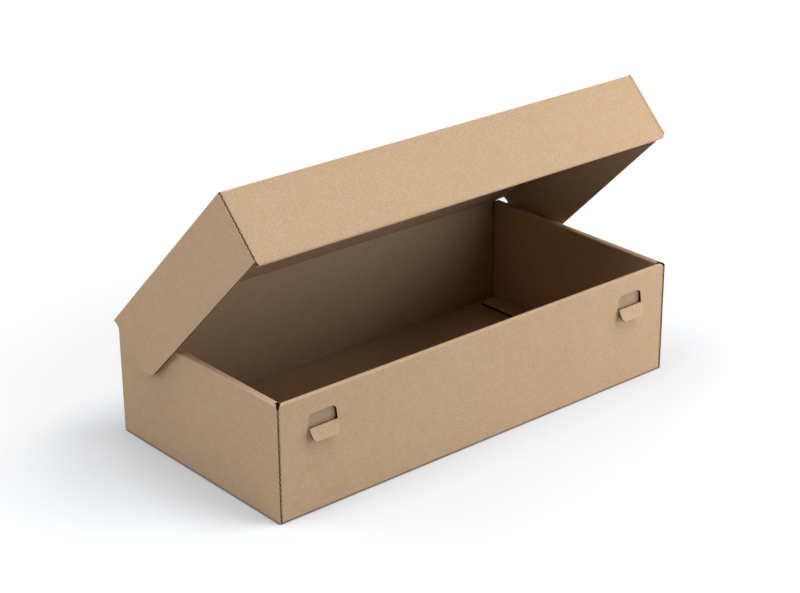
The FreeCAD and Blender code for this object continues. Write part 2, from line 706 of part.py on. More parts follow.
pieces = [
    make_tray(),
    make_lid(),
    make_lock_tab("left_lock_tab", "-1"),
    make_lock_tab("right_lock_tab", "1"),
]
doc.recompute()

for item in doc.Objects:
    if "Invalid" in item.State or "Error" in item.State:
        raise ValueError(f"{item.Label} did not recompute: {item.State}")
for piece in pieces:
    if piece.Shape.isNull() or not piece.Shape.isValid():
        raise ValueError(f"{piece.Label} has no valid shape")

os.makedirs("parts", exist_ok=True)
for piece in pieces:
    piece.Shape.exportStep(f"parts/{piece.Label}.step")
    box = piece.Shape.BoundBox
    print(
        f"{piece.Label}: {len(piece.Shape.Solids)} solid, {piece.Shape.Volume / 1000:.1f} cm3, "
        f"x {box.XMin:.1f}..{box.XMax:.1f} y {box.YMin:.1f}..{box.YMax:.1f} "
        f"z {box.ZMin:.1f}..{box.ZMax:.1f}")
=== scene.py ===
import json
import math
from bisect import bisect_right

import bmesh
import bpy
from mathutils import Matrix, Vector
from mathutils.geometry import delaunay_2d_cdt


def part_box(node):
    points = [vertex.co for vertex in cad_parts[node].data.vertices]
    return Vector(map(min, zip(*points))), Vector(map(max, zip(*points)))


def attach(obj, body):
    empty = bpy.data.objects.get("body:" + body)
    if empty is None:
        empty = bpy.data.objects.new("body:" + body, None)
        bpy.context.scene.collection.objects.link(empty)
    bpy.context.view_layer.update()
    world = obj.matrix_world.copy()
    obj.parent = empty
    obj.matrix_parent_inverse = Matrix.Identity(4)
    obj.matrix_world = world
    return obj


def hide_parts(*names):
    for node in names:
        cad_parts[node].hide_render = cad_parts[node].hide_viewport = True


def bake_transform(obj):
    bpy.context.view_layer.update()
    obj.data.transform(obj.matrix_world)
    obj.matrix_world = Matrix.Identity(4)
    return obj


# A storage box folded from one die-cut sheet of single-wall corrugated board. Each panel is
# rebuilt here as real board: two liners, the wavy fluting between them, and cut edges that
# show it.

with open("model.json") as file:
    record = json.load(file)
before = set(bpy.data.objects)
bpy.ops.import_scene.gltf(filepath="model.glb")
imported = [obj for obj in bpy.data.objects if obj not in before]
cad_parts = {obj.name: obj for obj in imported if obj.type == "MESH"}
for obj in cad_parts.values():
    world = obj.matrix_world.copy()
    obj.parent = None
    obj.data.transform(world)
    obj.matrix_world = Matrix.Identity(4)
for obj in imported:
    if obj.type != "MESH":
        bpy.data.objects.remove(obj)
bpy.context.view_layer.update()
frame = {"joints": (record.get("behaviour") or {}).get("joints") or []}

# ------------------------------------------------------------- sizes in millimetres

MM = 0.001
BOARD = 2.9            # thickness of the board
LINER = 0.38           # thickness of one liner
LAYER_GAP = 0.2        # air between two layers of a rolled wall
LAYER = BOARD + LAYER_GAP
HALF = BOARD / 2       # the hinge line runs in the middle of the board
FOLD = 2.6             # outside radius of a right-angle fold
SHARP_FOLD = 0.8       # the same where a corner flap turns back, pressed tighter
SHARP_SCORE = 0.4      # how strongly such a fold's crease shows, in its bump and its painted shade and highlight, against 1 elsewhere
END_GAP = 1.4          # air where a rolled-in panel stops
CUT_GAP = 0.3          # air around a lock tab
PITCH = 6.35           # one wave of the fluting
WAVE = 0.33            # how far the fluting swings from the middle, as a share of the board
STRAND = 0.09          # half the fluting paper's thickness, as a share of the board
WAVE_STEPS = 12        # pieces that one wave is made of
RECESS = 0.12          # how far the fluting lies behind the liners' cut edges
OPEN_DEPTH = 4.0       # how far one sees into flutes that are cut across
CLOSED_DEPTH = 2.4     # how far one sees in between the liners along a flute
CROSSWISE = 0.25       # an edge that crosses the flutes more than this is open
NEARLY_STRAIGHT = 0.2  # sine of a turn too slight for a mitre at the channel's bottom
LONGEST_MITRE = 1.5    # against the channel's depth
FOLD_STEPS = 6         # facets of a fold
ROUND_STEPS = 6        # facets of a rounded corner
CURVE_STEPS = 12       # facets of a long curve
STRIP_STEPS = 10       # facets of the strip over a moving crease
FACET = 1.2            # longest facet where a fold's end is rounded off
CREASE_REACH = 1.6     # how far a crease's pressed band and its painted shade reach beyond its fold
SHORT_LEG = 12         # a panel between two folds has room for such bands if longer
TINY = 1e-3            # a shorter facet or a smaller face is left out
SAME = 1e-4            # lengths along the sheet that differ by less are one
CLOSE = 1e-5           # points of an outline nearer than this are one
WELD = 3e-6            # corners nearer than this, in metres, are one
SHARP_ANGLE = math.radians(30)  # a steeper edge is not shaded smooth

# how the paper lies at a crease, stored on the sheet for the materials: a pressed groove, painted
# shade and a painted highlight
FLAT, SCORED, BENT = 0.0, 0.6, 1.0


def mm_box(node):
    low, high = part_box(node)
    return low / MM, high / MM


tray_low, tray_high = mm_box("tray")
_, lid_high = mm_box("lid")
SIDE, FRONT, BACK, TOP = tray_high.x, tray_low.y, tray_high.y, tray_high.z
FRONT_INNER = FRONT + 2 * BOARD + LAYER_GAP
SIDE_INNER = SIDE - 3 * BOARD - 2 * LAYER_GAP
CORNER = SIDE - LAYER
CROWN_ROUND = 4.4      # rounding of the front crown's ends
SIDE_ROUND = 4.3       # rounding of the side crowns' ends
TRAY_CORNER_FLAP = 112
FLOOR_FLAP = 28
FLOOR_FLAP_TAPER = 7

joints = {joint["name"]: joint for joint in frame["joints"]}
hinge = Vector(joints["lid_hinge"]["pos_m"]) / MM
LID_OPEN = -joints["lid_hinge"]["range_deg"][0]
TAB_FOLD = -joints["right_tab_crease"]["range_deg"][0]
tab_place = {
    side: Vector(joints[f"{side}_tab_crease"]["pos_m"]) / MM for side in ("left", "right")}

SLOT_WIDTH = 40.2        # at its foot
SLOT_FLARE = 2.2         # how far each side leans in up to its head
SLOT_HEIGHT = 17
SLOT_ROUND = 6.5
SLOT_FOOT = tab_place["right"].z
TAB_LENGTH = 15
TAB_ROOM = 1.85          # air between a tab's tip and the closed lid
TAB_WIDTH = SLOT_WIDTH - 2 * (SLOT_FLARE * BOARD / SLOT_HEIGHT + CUT_GAP)
tab_lean = math.radians(180 - TAB_FOLD)
TAB_REACH = TAB_LENGTH * math.sin(tab_lean) + BOARD * math.cos(tab_lean)
TAB_DROP = TAB_LENGTH * math.cos(tab_lean)
TAB_BEVEL = 2 * CUT_GAP  # pressed off at a tab's foot, where it is creased
TAB_BAND = 3.2           # how far up a tab its crease shows
TAB_SCORED = 0.8         # how it shows there, between SCORED and BENT
TAB_STEP = 4.8           # one more division, for the flutes along its leaning edges
TAB_STRIP = 4 * CUT_GAP  # how far up a tab the strip over its crease reaches

# how far a strip over a moving crease ends short of the crease
HINGE_INSET = 1
TAB_INSET = 0.1

# the lid in its own frame: hinge line at the origin, closed, front towards -Y
LID_SIDE = lid_high.x
LID_CORNER = LID_SIDE - LAYER
LID_FRONT = FRONT - TAB_REACH - TAB_ROOM - BOARD - hinge.y
LID_FRONT_INNER = LID_FRONT + 2 * BOARD + LAYER_GAP
LID_FRONT_HEIGHT = 86.3
LID_SIDE_HEIGHT = 82.2
LID_FOOT = HALF - LID_FRONT_HEIGHT
LID_CROWN = 6          # where the rounding of the front flap's ends starts above its foot
LID_ROUND = 3          # rounding of those ends
CATCH_ROOM = 0.6       # air between a tab's tip and the rolled-in edge that it holds
LID_CATCH = SLOT_FOOT - TAB_DROP - CATCH_ROOM - hinge.z
LID_CORNER_FLAP = 70
SIDE_FLAP_FOOT = HALF - LID_SIDE_HEIGHT
SETBACK = 0.5          # how far in front of the hinge line the side flaps end
HEEL_RISE = 36         # the rounded heel of a side flap
HEEL_RADIUS = 38.4
NOTCH_DEPTH = 3.3      # the arched notch in a side flap's back edge, next to the hinge
NOTCH_HALF = 8
NOTCH_MIDDLE = HALF - 1 - NOTCH_HALF


# ------------------------------------------------------------- the folded sheet


class Path:
    """Where the two faces of the board run in a folded section.

    It is laid through the corners of the face that is outside on most folds. inward is 1 where
    the board lies to the left of that face, -1 where it lies to the right; fold is the outside
    radius of its folds and score how strongly their creases show, in the bump and in their
    painted shade and highlight.
    """

    def __init__(self, corners=(), inward=1, fold=FOLD, score=1.0):
        self.fold = fold
        self.score = score
        self.stations = []
        self.legs = [(0.0, 0.0)]
        corners = [Vector(corner) for corner in corners]
        along = [(b - a).normalized() for a, b in zip(corners, corners[1:])]
        room = [(b - a).length > SHORT_LEG for a, b in zip(corners, corners[1:])]
        into = [Vector((-d.y, d.x)) * inward for d in along]
        if corners:
            self.add(corners[0], corners[0] + into[0] * BOARD)
        for i in range(1, len(corners) - 1):
            corner, before, after = corners[i], along[i - 1], along[i]
            if room[i - 1]:
                foot = corner - before * (BOARD + CREASE_REACH)
                self.add(foot, foot + into[i - 1] * BOARD)
            if after.dot(into[i - 1]) > 0:
                self.outward_fold(corner, before, after)
                self.legs.append((self.stations[-1][0], BOARD))
            else:
                self.inward_fold(corner, before, into[i - 1])
                self.legs.append((self.stations[-1][0], 0.0))
            if room[i]:
                head = corner + after * (BOARD + CREASE_REACH)
                self.add(head, head + into[i] * BOARD)
        if corners:
            self.add(corners[-1], corners[-1] + into[-1] * BOARD)
        self.close()

    def close(self):
        self.lengths = [station[0] for station in self.stations]

    def add(self, outer, inner, crease=FLAT):
        length = 0.0
        if self.stations:
            last = self.stations[-1]
            step = max((outer - last[1]).length, (inner - last[2]).length)
            if step < SAME:
                return
            length = last[0] + step
        self.stations.append((length, outer.copy(), inner.copy(), crease * self.score))

    def outward_fold(self, corner, before, after):
        """A right-angle turn with the path's own face outside."""
        pinch = corner + (after - before) * BOARD
        centre = corner + (after - before) * self.fold
        self.add(corner - before * BOARD, pinch, SCORED)
        for k in range(FOLD_STEPS + 1):
            turn = math.pi / 2 * k / FOLD_STEPS
            arm = before * math.sin(turn) - after * math.cos(turn)
            self.add(centre + arm * self.fold, pinch, BENT)
        self.add(corner + after * BOARD, pinch, SCORED)

    def inward_fold(self, corner, before, across):
        """A right-angle turn with the path's own face inside."""
        centre = corner + (across + before) * (BOARD - self.fold)
        self.add(corner, corner + across * BOARD, SCORED)
        for k in range(FOLD_STEPS + 1):
            turn = math.pi / 2 * k / FOLD_STEPS
            arm = across * math.cos(turn) + before * math.sin(turn)
            self.add(corner, centre + arm * self.fold, BENT)
        self.add(corner, corner + before * BOARD, SCORED)

    def at(self, leg, distance):
        """The length along the sheet at a distance from the start of one leg."""
        length, start = self.legs[leg]
        return length + distance - start

    def between(self, length):
        k = min(max(bisect_right(self.lengths, length), 1), len(self.lengths) - 1)
        low, high = self.stations[k - 1], self.stations[k]
        return low, high, (length - low[0]) / (high[0] - low[0])

    def spot(self, length, depth):
        """The section point at a length; depth 0 is the outer face and 1 the inner one."""
        low, high, share = self.between(length)
        return low[1].lerp(high[1], share).lerp(low[2].lerp(high[2], share), depth)

    def crease(self, length):
        low, high, share = self.between(length)
        return low[3] + (high[3] - low[3]) * share


def wound(loop, clockwise):
    """The loop of (length, across, kind of edge to the next), turned the way that is asked."""
    area = sum(a[0] * b[1] - b[0] * a[1] for a, b in zip(loop, loop[1:] + loop[:1]))
    if (area < 0) == clockwise:
        return loop
    return [(*loop[i][:2], loop[i - 1][2]) for i in range(len(loop) - 1, -1, -1)]


def divided(path, loop):
    """The loop with a point wherever it passes one of the path's stations."""
    points = []
    for (s0, t0, kind), (s1, t1, _) in zip(loop, loop[1:] + loop[:1]):
        points.append((s0, t0, kind))
        inside = [s for s in path.lengths if min(s0, s1) + SAME < s < max(s0, s1) - SAME]
        for s in sorted(inside, reverse=s1 < s0):
            points.append((s, t0 + (t1 - t0) * (s - s0) / (s1 - s0), kind))
    return points


def holds(loops, point):
    """Whether an even-odd count of the loops' edges puts the point inside."""
    inside = False
    for loop in loops:
        for (s0, t0, _), (s1, t1, _) in zip(loop, loop[1:] + loop[:1]):
            if (t0 > point.y) != (t1 > point.y):
                if point.x < s0 + (s1 - s0) * (point.y - t0) / (t1 - t0):
                    inside = not inside
    return inside


class Board:
    """One piece of corrugated board, gathered panel by panel."""

    OUTER_SLOT, INNER_SLOT, CUT_SLOT, FLUTE_SLOT = range(4)
    OPEN_KINDS = ("raw", "hollow")

    def __init__(self):
        self.mesh = bmesh.new()
        self.sheet = self.mesh.loops.layers.float_vector.new("sheet")

    def face(self, corners, slot):
        """Adds a face with corners (place, where on the sheet)."""
        verts = [self.mesh.verts.new(place * MM) for place, _ in corners]
        face = self.mesh.faces.new(verts)
        face.material_index = slot
        for loop, (_, where) in zip(face.loops, corners):
            loop[self.sheet] = where

    def panel(self, path, place, loops, across_is_length=False, phase=0.0, sign=1):
        """Adds both liners and the cut edges of one panel.

        path folds the sheet and place puts (section point, position along the folds) in space.
        loops are the outline and any holes, of (length, position, kind of edge to the next).
        across_is_length says that the flutes lie along the folds. phase is where the panel
        starts on the sheet, across its flutes, and sign mirrors it there.
        """
        loops = [
            divided(path, wound(loop, clockwise=index > 0)) for index, loop in enumerate(loops)]

        def corner(s, t, depth):
            across, along = (s, t) if across_is_length else (t, s)
            where = Vector((sign * (across + phase) * MM, along * MM, path.crease(s)))
            return place(path.spot(s, depth), t), where

        def across(s, t):
            return s if across_is_length else t

        self.liners(path, loops, corner)
        for loop in loops:
            self.cut_edges(loop, corner, across, phase)

    def liners(self, path, loops, corner):
        """Both faces, divided along the path's stations."""
        points = [Vector((s, t)) for loop in loops for s, t, _ in loop]
        edges = []
        for loop in loops:
            first = len(edges)
            count = len(loop)
            edges += [(first + i, first + (i + 1) % count) for i in range(count)]
        low = min(point.y for point in points) - 1
        high = max(point.y for point in points) + 1
        for s in path.lengths:
            edges.append((len(points), len(points) + 1))
            points += [Vector((s, low)), Vector((s, high))]
        spots, _, faces, *_ = delaunay_2d_cdt(points, edges, [], 0, CLOSE)
        for face in faces:
            middle = sum((spots[i] for i in face), Vector((0, 0))) / len(face)
            if not holds(loops, middle):
                continue
            for depth in (0, 1):
                corners = [corner(*spots[i], depth) for i in face]
                a, b, c = (place for place, _ in corners)
                if (b - a).cross(c - a).length > TINY:
                    self.face(corners, (self.OUTER_SLOT, self.INNER_SLOT)[depth])

    def cut_edges(self, loop, corner, across, phase):
        """What shows along one loop, by kind of edge.

        raw is cut open, with both liners' edges and the fluting; hollow is the same, but too
        deep in shade to show either; crushed is pressed shut; joined runs on into another panel.
        """
        count = len(loop)
        lip = LINER / BOARD
        into, reach = [], []
        for (s0, t0, kind), (s1, t1, _) in zip(loop, loop[1:] + loop[:1]):
            run = Vector((s1 - s0, t1 - t0))
            turned = abs(across(s1, t1) - across(s0, t0)) / run.length
            into.append(Vector((-run.y, run.x)) / run.length)
            depth = OPEN_DEPTH if turned > CROSSWISE else CLOSED_DEPTH
            reach.append(depth if kind in self.OPEN_KINDS else 0.0)

        def inset(i, j):
            """How far the channel's bottom lies from point i, for the edge j that meets it."""
            other = i - 1 if j == i else i
            if not reach[other]:
                return into[j] * reach[j]
            a, b = into[j], into[other]
            cross = a.x * b.y - a.y * b.x
            if abs(cross) < NEARLY_STRAIGHT:
                return (a * reach[j] + b * reach[other]) / 2
            deep = Vector((
                (reach[j] * b.y - reach[other] * a.y) / cross,
                (reach[other] * a.x - reach[j] * b.x) / cross))
            longest = LONGEST_MITRE * max(reach[j], reach[other])
            return deep * min(1.0, longest / deep.length)

        for i in range(count):
            j = (i + 1) % count
            start, end = Vector(loop[i][:2]), Vector(loop[j][:2])
            kind = loop[i][2]
            if kind == "crushed":
                self.face([corner(*start, 0), corner(*end, 0), corner(*end, 1),
                           corner(*start, 1)], self.CUT_SLOT)
            if kind not in self.OPEN_KINDS:
                continue
            deep = (inset(i, i), inset(j, i))
            rings = []
            for point, back in zip((start, end), deep):
                inner = point + back
                rings.append([
                    corner(*point, 0), corner(*point, lip), corner(*inner, lip),
                    corner(*inner, 1 - lip), corner(*point, 1 - lip), corner(*point, 1)])
            for k in range(5):
                slot = self.CUT_SLOT if k in (0, 4) and kind == "raw" else self.FLUTE_SLOT
                self.face([rings[0][k], rings[1][k], rings[1][k + 1], rings[0][k + 1]], slot)
            for ring, other in zip(rings, (i - 1, j)):
                if not reach[other]:
                    self.face(ring[1:5], self.FLUTE_SLOT)
            if kind == "raw":
                self.fluting(start, end, into[i], deep, corner, across, phase)

    def fluting(self, start, end, into, deep, corner, across, phase):
        """The wavy paper between the liners, seen along one cut edge."""
        first, last = across(*start) + phase, across(*end) + phase
        steps = max(1, math.ceil(abs(last - first) * WAVE_STEPS / PITCH))
        rows = []
        for k in range(steps + 1):
            share = k / steps
            level = 0.5 + WAVE * math.sin(
                2 * math.pi * (first + (last - first) * share) / PITCH)
            front = start.lerp(end, share) + into * RECESS
            back = start.lerp(end, share) + deep[0].lerp(deep[1], share)
            rows.append([
                corner(*front, level - STRAND), corner(*front, level + STRAND),
                corner(*back, level + STRAND), corner(*back, level - STRAND)])
        for a, b in zip(rows, rows[1:]):
            for k in range(4):
                slot = self.CUT_SLOT if k == 0 else self.FLUTE_SLOT
                self.face([a[k], b[k], b[(k + 1) % 4], a[(k + 1) % 4]], slot)

    def finished(self, name, body=None, node=None, faces=()):
        """Welds the panels into one mesh, which may ride on a body and stand for a node.

        faces are the materials of the two liners.
        """
        bmesh.ops.remove_doubles(self.mesh, verts=self.mesh.verts, dist=WELD)
        bmesh.ops.recalc_face_normals(self.mesh, faces=self.mesh.faces)
        data = bpy.data.meshes.new(name)
        self.mesh.to_mesh(data)
        self.mesh.free()
        data.shade_smooth()
        data.set_sharp_from_angle(angle=SHARP_ANGLE)
        for material in (*(faces or (outer_liner, shaded_inner_liner)), cut_edge, fluting_paper):
            data.materials.append(material)
        obj = bpy.data.objects.new(name, data)
        bpy.context.scene.collection.objects.link(obj)
        if body:
            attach(obj, body)
        if node:
            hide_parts(node)
        return obj


# ------------------------------------------------------------- materials


def srgb(code):
    """A hex colour as linear RGBA."""
    parts = [int(code[i:i + 2], 16) / 255 for i in (1, 3, 5)]
    linear = [c / 12.92 if c <= 0.04045 else ((c + 0.055) / 1.055) ** 2.4 for c in parts]
    return (*linear, 1.0)


def add(tree, kind, settings=None, links=None):
    """Adds a node, sets its properties or sockets by name, and links its inputs."""
    node = tree.nodes.new(kind)
    for key, value in (settings or {}).items():
        if isinstance(key, str) and hasattr(node, key):
            setattr(node, key, value)
        else:
            node.inputs[key].default_value = value
    for key, socket in (links or {}).items():
        tree.links.new(socket, node.inputs[key])
    return node


def new_material(name):
    material = bpy.data.materials.new(name)
    material.use_nodes = True
    material.node_tree.nodes.clear()
    return material, material.node_tree


def ramp(tree, factor, stops):
    """A grey factor from (place, value) stops, linear between them."""
    node = add(tree, "ShaderNodeValToRGB", None, {0: factor})
    while len(node.color_ramp.elements) < len(stops):
        node.color_ramp.elements.new(0.5)
    for element, (place, value) in zip(node.color_ramp.elements, stops):
        element.position = place
        element.color = (value, value, value, 1)
    return node.outputs[0]


def noise(tree, vector, size, detail, stretch=None):
    """Noise whose features are about size metres; with stretch it is flat and drawn out."""
    if stretch:
        vector = add(tree, "ShaderNodeVectorMath", {"operation": "MULTIPLY", 1: stretch},
                     {0: vector}).outputs[0]
    return add(tree, "ShaderNodeTexNoise",
               {"noise_dimensions": "2D" if stretch else "3D", "Scale": 1 / size,
                "Detail": detail}, {"Vector": vector}).outputs[0]


def spread(tree, value, low, high):
    """Stretches the middle of a noise to run from low to high."""
    return add(tree, "ShaderNodeMapRange",
               {"From Min": 0.3, "From Max": 0.7, "To Min": low, "To Max": high},
               {"Value": value}).outputs[0]


def math_node(tree, operation, *values):
    """A math node on numbers and sockets."""
    settings, links = {"operation": operation}, {}
    for index, value in enumerate(values):
        if isinstance(value, (int, float)):
            settings[index] = value
        else:
            links[index] = value
    return add(tree, "ShaderNodeMath", settings, links).outputs[0]


def length_of(tree, vector):
    return add(tree, "ShaderNodeVectorMath", {"operation": "LENGTH"},
               {0: vector}).outputs["Value"]


def product(tree, *factors):
    total = factors[0]
    for factor in factors[1:]:
        total = math_node(tree, "MULTIPLY", total, factor)
    return total


def kraft(name, base, fibre, roughness, strength):
    """Brown paper: cloudy sheet, short darker and lighter fibres, a few specks, no shine.

    fibre is how much they stand out and strength how far they can be felt. The flutes below
    press a faint washboard through the paper, felt in the bump and shown as faint stripes of
    painted shade; a crease is pressed in along its edge, with painted shade there and a painted
    highlight over the bend.
    """
    material, tree = new_material(name)
    sheet = add(tree, "ShaderNodeAttribute", {"attribute_name": "sheet"}).outputs["Vector"]
    # turned, so that no panel lies along the noise's own planes
    place = add(tree, "ShaderNodeVectorRotate", {"Axis": (0.36, 0.48, 0.8), "Angle": 0.9},
                {0: add(tree, "ShaderNodeTexCoord").outputs["Object"]}).outputs[0]
    parts = add(tree, "ShaderNodeSeparateXYZ", None, {0: sheet}).outputs

    cloud = noise(tree, place, 0.11, 3)
    blotch = noise(tree, place, 0.014, 3)
    mottle = noise(tree, place, 0.0024, 2)
    fibres = noise(tree, sheet, 0.0013, 2, (1.0, 0.55, 0.0))
    grain = noise(tree, place, 0.0008, 1)
    specks = ramp(tree, noise(tree, place, 0.0015, 0), ((0.68, 1.0), (0.76, 0.90)))
    pale_specks = ramp(tree, noise(tree, place, 0.0016, 0), ((0.22, 1.05), (0.32, 1.0)))
    crossing = math_node(tree, "MULTIPLY", parts[0], 2 * math.pi / (PITCH * MM))
    washboard = math_node(tree, "SINE", crossing)
    # faint stripes of painted shade along the washboard's ridges, beside its bump
    rows = math_node(tree, "MULTIPLY_ADD", washboard, 0.006, 1.0)
    # painted shade along a crease's score and a painted highlight over its bend
    crease = ramp(tree, parts[2], (
        (FLAT, 1.0), (0.42, 0.98), (SCORED, 0.91), (0.72, 0.98), (BENT, 1.05)))
    value = product(
        tree, spread(tree, cloud, 0.99, 1.01), spread(tree, blotch, 0.99, 1.01),
        spread(tree, mottle, 1 - 0.3 * fibre, 1 + 0.3 * fibre),
        spread(tree, fibres, 1 - 0.7 * fibre, 1 + 0.7 * fibre),
        spread(tree, grain, 1 - 3.2 * fibre, 1 + 3.2 * fibre),
        specks, pale_specks, rows, crease)
    colour = add(tree, "ShaderNodeHueSaturation", {"Color": srgb(base)},
                 {"Value": value, "Saturation": spread(tree, blotch, 1.03, 0.97)}).outputs[0]

    pressed = ramp(tree, parts[2], (
        (FLAT, 1.0), (0.45, 0.9), (SCORED, 0.0), (0.75, 0.9), (BENT, 1.0)))
    height = math_node(tree, "MULTIPLY", washboard, 0.012)
    height = math_node(tree, "MULTIPLY_ADD", fibres, 0.06, height)
    height = math_node(tree, "MULTIPLY_ADD", pressed, 0.12, height)
    bump = add(tree, "ShaderNodeBump", {"Strength": strength, "Distance": MM},
               {"Height": height}).outputs[0]
    shader = add(tree, "ShaderNodeBsdfPrincipled", {"Specular IOR Level": 0.08},
                 {"Base Color": colour, "Normal": bump,
                  "Roughness": spread(tree, mottle, roughness - 0.06, roughness + 0.06)})
    add(tree, "ShaderNodeOutputMaterial", None, {"Surface": shader.outputs[0]})
    return material


# the sheet's good face: matt light brown liner with visible fibres
outer_liner = kraft("outer_liner", "#BFA284", 0.055, 0.86, 0.5)
# its other face, on the floor and inside: darker and greyer, of recycled pulp, and darker still as
# painted shade for the inside of the box
shaded_inner_liner = kraft("shaded_inner_liner", "#B0987D", 0.06, 0.90, 0.5)
# where a blade cut through the paper: torn fibres, rough
cut_edge = kraft("cut_edge", "#BFA284", 0.08, 0.92, 0.8)
# the paper between the liners, seen in the shade of its own waves
fluting_paper = kraft("fluting_paper", "#33271B", 0.08, 0.95, 0.5)


# ------------------------------------------------------------- placing the panels


def along_x(point, t):
    """Places a section that lies across the X axis: front, back, hinge line."""
    return Vector((t, point.x, point.y))


def along_y(side):
    """Places a section that lies across the Y axis, on the right (1) or the left (-1)."""
    return lambda point, t: Vector((side * point.x, t, point.y))


def along_z(side):
    """Places a section seen from above, on the right (1) or the left (-1)."""
    return lambda point, t: Vector((side * point.x, point.y, t))


def moved(matrix, place):
    return lambda point, t: matrix @ place(point, t)


def both_sides(profile, first_kind, last_kind):
    """A closed loop from (length, half width, kind) points; the two end edges' kinds are given."""
    right = [*profile[:-1], (*profile[-1][:2], last_kind)]
    left = [(s, -t, "") for s, t, _ in reversed(profile)]
    kinds = [kind for _, _, kind in reversed(profile[:-1])] + [first_kind]
    return right + [(s, t, kind) for (s, t, _), kind in zip(left, kinds)]


def rounded(path, start, stop, rounding, level, toward):
    """(length, inset) where a corner is rounded off, seen square on.

    level is the height at which the rounding starts; toward is 1 upwards and -1 downwards.
    """
    stops = [start, *(s for s in path.lengths if start + TINY < s < stop - TINY), stop]
    steps = []
    for a, b in zip(stops, stops[1:]):
        parts = math.ceil((b - a) / FACET)
        steps += [a + (b - a) * k / parts for k in range(parts)]
    points = []
    for s in steps + [stop]:
        rise = min(max(toward * (path.spot(s, 0).y - level), 0.0), rounding)
        points.append((s, rounding - math.sqrt(rounding ** 2 - rise ** 2)))
    return points


def flared(half_foot, half_head, foot, head, rounding):
    """(height, across) up the right side of a slot or tab: leaning side and rounded corner."""
    lean = math.atan2(half_foot - half_head, head - foot)
    level = head - rounding
    middle = half_foot - (level - foot) * math.tan(lean) - rounding / math.cos(lean)
    points = [(foot, half_foot)]
    for k in range(ROUND_STEPS + 1):
        turn = lean + (math.pi / 2 - lean) * k / ROUND_STEPS
        points.append((level + rounding * math.sin(turn), middle + rounding * math.cos(turn)))
    return points


def slot_hole(path, leg, head, middle):
    """The outline of one lock slot in the front panel."""
    side = flared(SLOT_WIDTH / 2, SLOT_WIDTH / 2 - SLOT_FLARE, SLOT_FOOT,
                  SLOT_FOOT + SLOT_HEIGHT, SLOT_ROUND)
    points = [(z, -t, "hollow") for z, t in reversed(side)]
    points[-1] = (*points[-1][:2], "raw")
    points += [(z, t, "hollow") for z, t in side]
    return [(path.at(leg, head - z), middle + t, kind) for z, t, kind in points]


def corner_flap(board, place, corner, front, turn, reach, low, high, side):
    """A flap folded back round an upright corner, behind the side wall or flap.

    It springs from the sheet's face at Y = front and reaches back (turn 1) or forward (-1).
    """
    path = Path([
        (corner - BOARD, front), (corner, front), (corner, front + turn * reach)],
        turn, SHARP_FOLD, SHARP_SCORE)
    end = path.at(1, reach)
    board.panel(path, place, [[
        (0.0, low, "raw"), (end, low, "raw"), (end, high, "raw"), (0.0, high, "joined")]],
        True, corner - BOARD, side)


def make_tray():
    """Floor and rolled walls, all of one sheet; the slots' tabs are pieces of their own."""
    board = Board()
    # legs: inner front 0, crown 1, front 2, floor 3, back 4
    path = Path([
        (FRONT_INNER, LAYER), (FRONT_INNER, TOP), (FRONT, TOP), (FRONT, 0), (BACK, 0),
        (BACK, TOP)])
    wall = CORNER - BOARD
    flap_low, flap_high = LAYER, TOP - CROWN_ROUND
    inner = SIDE_INNER - END_GAP
    profile = [(0.0, inner, "raw"), (path.at(0, flap_high - LAYER), inner, "raw")]
    profile += [(s, CORNER - inset, "hollow") for s, inset in rounded(
        path, path.at(0, flap_high - LAYER), path.at(2, CROWN_ROUND), CROWN_ROUND,
        TOP - CROWN_ROUND, 1)]
    depth = BACK - FRONT
    profile += [
        (path.at(2, CROWN_ROUND), wall, "joined"),
        (path.at(2, TOP - flap_low), wall, "crushed"),
        (path.at(2, TOP - flap_low), CORNER, "raw"),
        (path.at(3, FOLD), CORNER, "joined"),
        (path.at(3, FOLD), SIDE - BOARD, "joined"),
        (path.at(3, depth - FOLD), SIDE - BOARD, "joined"),
        (path.at(3, depth - FOLD), CORNER, "raw"),
        (path.at(4, flap_low), CORNER, "crushed"),
        (path.at(4, flap_low), wall, "joined"),
        (path.at(4, flap_high), wall, "raw"),
        (path.at(4, TOP), wall, "raw")]
    outline = both_sides(profile, "raw", "crushed")
    holes = [slot_hole(path, 2, TOP, tab_place[side].x) for side in ("left", "right")]
    board.panel(path, along_x, [outline, *holes])

    # legs: edge of the floor 0, side 1, crown 2, inner side 3, floor flap 4
    side_path = Path([
        (SIDE - BOARD, 0), (SIDE, 0), (SIDE, TOP), (SIDE_INNER, TOP),
        (SIDE_INNER, LAYER + BOARD), (SIDE_INNER - FLOOR_FLAP, LAYER + BOARD)])
    front_end = FRONT_INNER + END_GAP
    back_end = BACK - BOARD - END_GAP
    foot = side_path.at(3, TOP - LAYER - BOARD)
    root = side_path.at(4, 0)
    free = side_path.at(4, FLOOR_FLAP)
    brink = side_path.at(2, BOARD)
    shoulder = rounded(side_path, side_path.at(1, TOP - SIDE_ROUND), brink, SIDE_ROUND,
                       TOP - SIDE_ROUND, 1)
    outline = [(0.0, FRONT, "raw")]
    outline += [(s, FRONT + inset, "hollow") for s, inset in shoulder]
    outline[-1] = (*outline[-1][:2], "crushed")
    outline += [
        (brink, front_end, "hollow"), (foot, front_end, "raw"), (root, front_end + END_GAP, "raw"),
        (free, front_end + FLOOR_FLAP_TAPER, "hollow"), (free, back_end - FLOOR_FLAP_TAPER, "raw"),
        (root, back_end - END_GAP, "raw"), (foot, back_end, "hollow")]
    outline += [(s, BACK - inset, "hollow") for s, inset in reversed(shoulder)]
    outline += [
        (0.0, BACK, "raw"), (0.0, BACK - FOLD, "joined"), (0.0, FRONT + FOLD, "raw")]
    for side in (1, -1):
        board.panel(side_path, along_y(side), [outline], True, SIDE - BOARD, side)
        for face, turn in ((FRONT, 1), (BACK, -1)):
            corner_flap(board, along_z(side), CORNER, face, turn, TRAY_CORNER_FLAP,
                        flap_low, flap_high, side)
    board.finished("tray_board", "tray", "tray")


